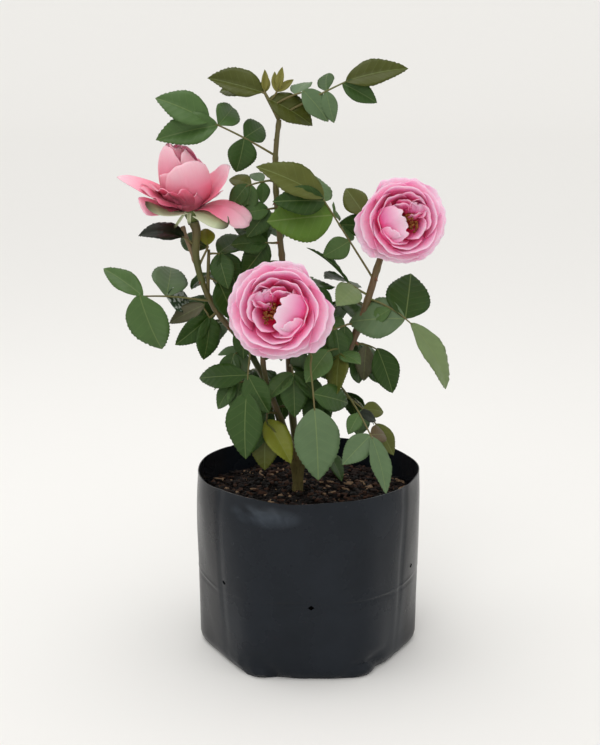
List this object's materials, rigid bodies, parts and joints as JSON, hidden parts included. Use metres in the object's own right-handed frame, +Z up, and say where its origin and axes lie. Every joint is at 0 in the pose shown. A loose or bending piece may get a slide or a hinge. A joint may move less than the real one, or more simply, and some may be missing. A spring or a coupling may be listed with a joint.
{
  "type": "potted rose bush",
  "caption": "Small rose bush with open pink blooms and a half-open bud, standing in an open round nursery bag filled with potting mix.",
  "frame": {"origin": "middle of the bag's flat underside, where the potted plant stands", "axes": "+Z up, +X to the right of someone facing the front bloom, +Y away from them"},
  "size_m": [0.2902, 0.197, 0.5055],
  "materials": {
    "polythene": "black polythene film, satin, creased, with a wavy rim",
    "potting_mix": "damp coarse potting mix of bark chips and coir",
    "bark": "olive-brown rose bark, lightly ridged, with a few thorns",
    "leaf": "rose leaves, dark satin green above with paler veins, paler and matt beneath",
    "petal": "soft pink petals, deeper towards the heart and pale at their edges"
  },
  "bodies": {
    "root": {"grow_bag": "polythene", "soil": "potting_mix", "stump": "bark", "centre_cane": "bark", "left_cane": "bark", "right_cane": "bark", "front_cane": "bark", "bloom_front": "petal", "bloom_right": "petal", "bloom_left": "petal", "top_spray": "leaf", "high_left_leaf": "leaf", "inner_right_leaf": "leaf", "bloom_side_leaf": "leaf", "middle_left_leaf": "leaf", "middle_low_leaf": "leaf", "dark_left_leaf": "leaf", "left_leaf": "leaf", "left_low_leaf": "leaf", "left_inner_shoot": "leaf", "front_left_leaf": "leaf", "front_leaf": "leaf", "yellow_leaf": "leaf", "right_low_leaf": "leaf", "right_low_spray": "leaf", "right_middle_leaf": "leaf", "right_leaf": "leaf", "right_upper_leaf": "leaf", "right_inner_shoot": "leaf", "centre_low_shoot": "leaf", "far_shoot_1": "leaf", "far_shoot_2": "leaf", "far_shoot_3": "leaf", "far_shoot_4": "leaf", "far_shoot_5": "leaf", "far_shoot_6": "leaf", "far_shoot_7": "leaf", "far_shoot_8": "leaf", "far_shoot_9": "leaf", "far_shoot_10": "leaf"}
  },
  "joints": []
}
